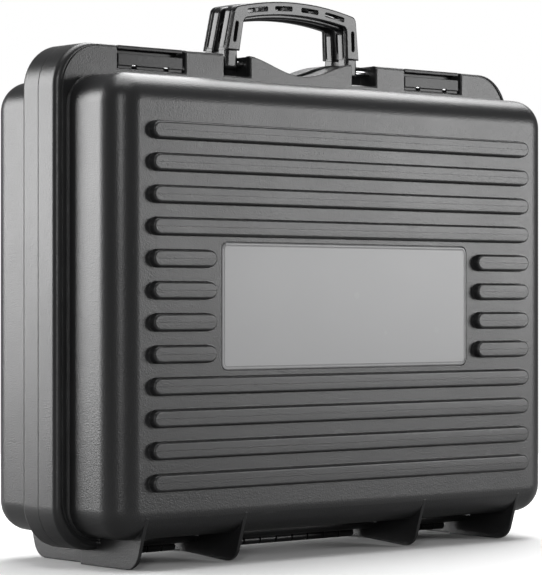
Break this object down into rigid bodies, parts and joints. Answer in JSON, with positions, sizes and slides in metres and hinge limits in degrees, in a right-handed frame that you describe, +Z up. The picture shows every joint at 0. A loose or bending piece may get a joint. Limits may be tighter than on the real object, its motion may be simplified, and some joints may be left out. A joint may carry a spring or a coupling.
{
  "type": "hard carrying case",
  "caption": "Hinged hard plastic carrying case with ribbed half shells, folding two-part handle, latches, moulded fins and foam lining.",
  "frame": {"origin": "on the surface the case stands on, under the middle of the case, in the plane where lid and base meet", "axes": "+X along the width, +Z up towards the handle, -Y out through the lid with the label"},
  "size_m": [0.4654, 0.1664, 0.4238],
  "materials": {
    "shell_plastic": "fine grained satin moulding",
    "handle_plastic": "semi-gloss moulding",
    "latch_plastic": "satin moulding",
    "label_plate": "smooth satin",
    "pin_steel": "bright drawn wire",
    "foam": "open-cell foam"
  },
  "bodies": {
    "base": {"base_shell": "shell_plastic", "rear_handle_pin_left": "pin_steel", "rear_handle_pin_right": "pin_steel", "hinge_pin_left": "pin_steel", "hinge_pin_centre": "pin_steel", "hinge_pin_right": "pin_steel", "base_foam_block": "foam", "base_foam_pad": "foam"},
    "lid": {"lid_shell": "shell_plastic", "label_plate": "label_plate", "front_handle_pin_left": "pin_steel", "front_handle_pin_right": "pin_steel", "latch_pin_left": "pin_steel", "latch_pin_right": "pin_steel", "latch_spring_left": "pin_steel", "latch_spring_right": "pin_steel", "lid_foam": "foam"},
    "front_handle": {"front_handle": "handle_plastic"},
    "rear_handle": {"rear_handle": "handle_plastic"},
    "latch_left": {"latch_left": "latch_plastic"},
    "latch_right": {"latch_right": "latch_plastic"}
  },
  "joints": [
    {"name": "lid_hinge", "type": "hinge", "parent": "base", "child": "lid", "pos_m": [0, 0, 0.0079], "axis": [1, 0, 0], "range_deg": [0, 110]},
    {"name": "front_handle_fold", "type": "hinge", "parent": "lid", "child": "front_handle", "pos_m": [0, -0.0088, 0.3726], "axis": [1, 0, 0], "range_deg": [0, 90]},
    {"name": "rear_handle_fold", "type": "hinge", "parent": "base", "child": "rear_handle", "pos_m": [0, 0.0088, 0.3726], "axis": [-1, 0, 0], "range_deg": [0, 98]},
    {"name": "latch_left_turn", "type": "hinge", "parent": "lid", "child": "latch_left", "pos_m": [0, -0.017, 0.3644], "axis": [1, 0, 0], "range_deg": [0, 90]},
    {"name": "latch_right_turn", "type": "hinge", "parent": "lid", "child": "latch_right", "pos_m": [0, -0.017, 0.3644], "axis": [1, 0, 0], "range_deg": [0, 90]}
  ]
}
